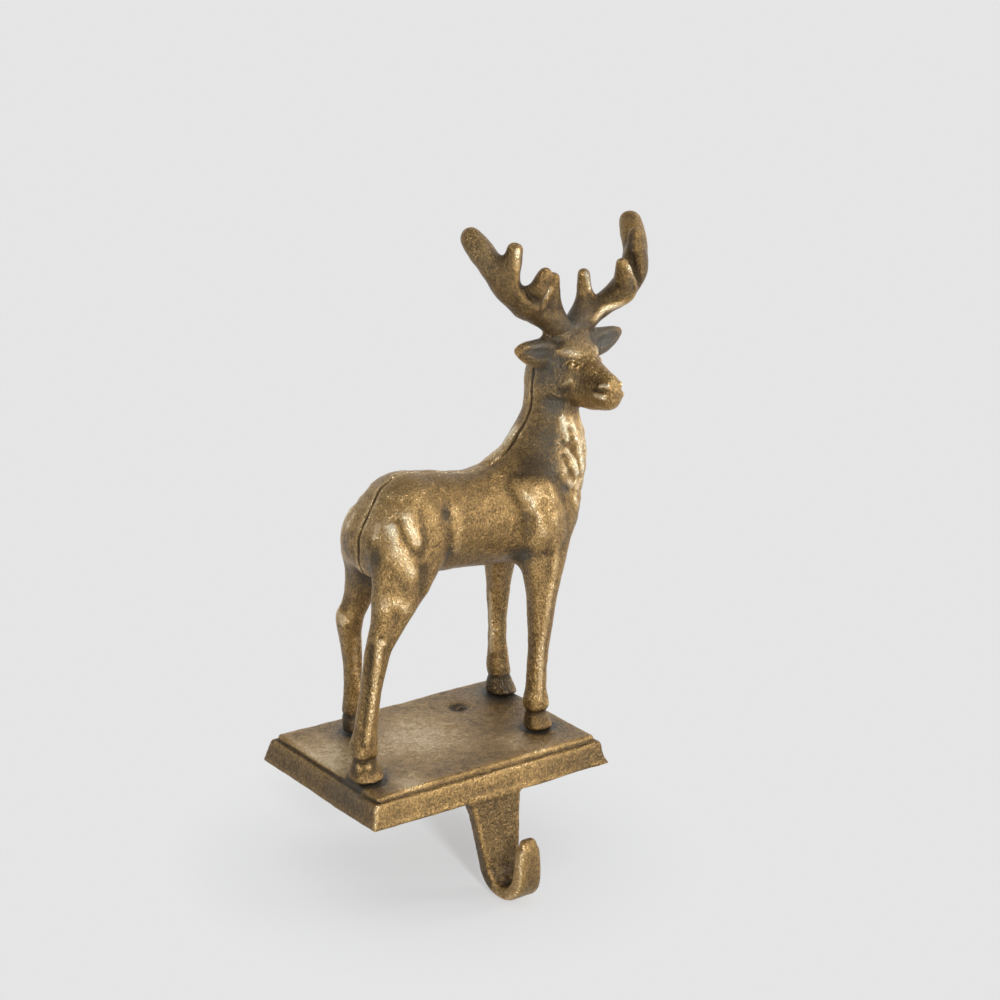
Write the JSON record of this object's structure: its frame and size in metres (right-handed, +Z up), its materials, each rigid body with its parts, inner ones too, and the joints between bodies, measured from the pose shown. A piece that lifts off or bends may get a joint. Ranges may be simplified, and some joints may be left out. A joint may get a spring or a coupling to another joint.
{
  "type": "mantel stocking holder",
  "caption": "Cast stag standing on a stepped rectangular plinth, whose front drops a J-shaped hook over a mantel's edge to hold a stocking.",
  "frame": {"origin": "middle of the plinth's underside, which is the top of the mantel shelf", "axes": "+X the way the stag walks, -Y toward the front of the mantel, where the hook hangs and the stag looks, +Z up"},
  "size_m": [0.1499, 0.0983, 0.2412],
  "materials": {
    "antique_brass": "sand-cast iron with a rubbed antique brass finish and a dark blue-grey patina in the hollows",
    "screw_steel": "dulled steel"
  },
  "bodies": {
    "root": {"plinth": "antique_brass", "right_half": "antique_brass", "left_half": "antique_brass", "antlers": "antique_brass", "body_screw": "screw_steel", "hoof_screws": "screw_steel"}
  },
  "joints": []
}
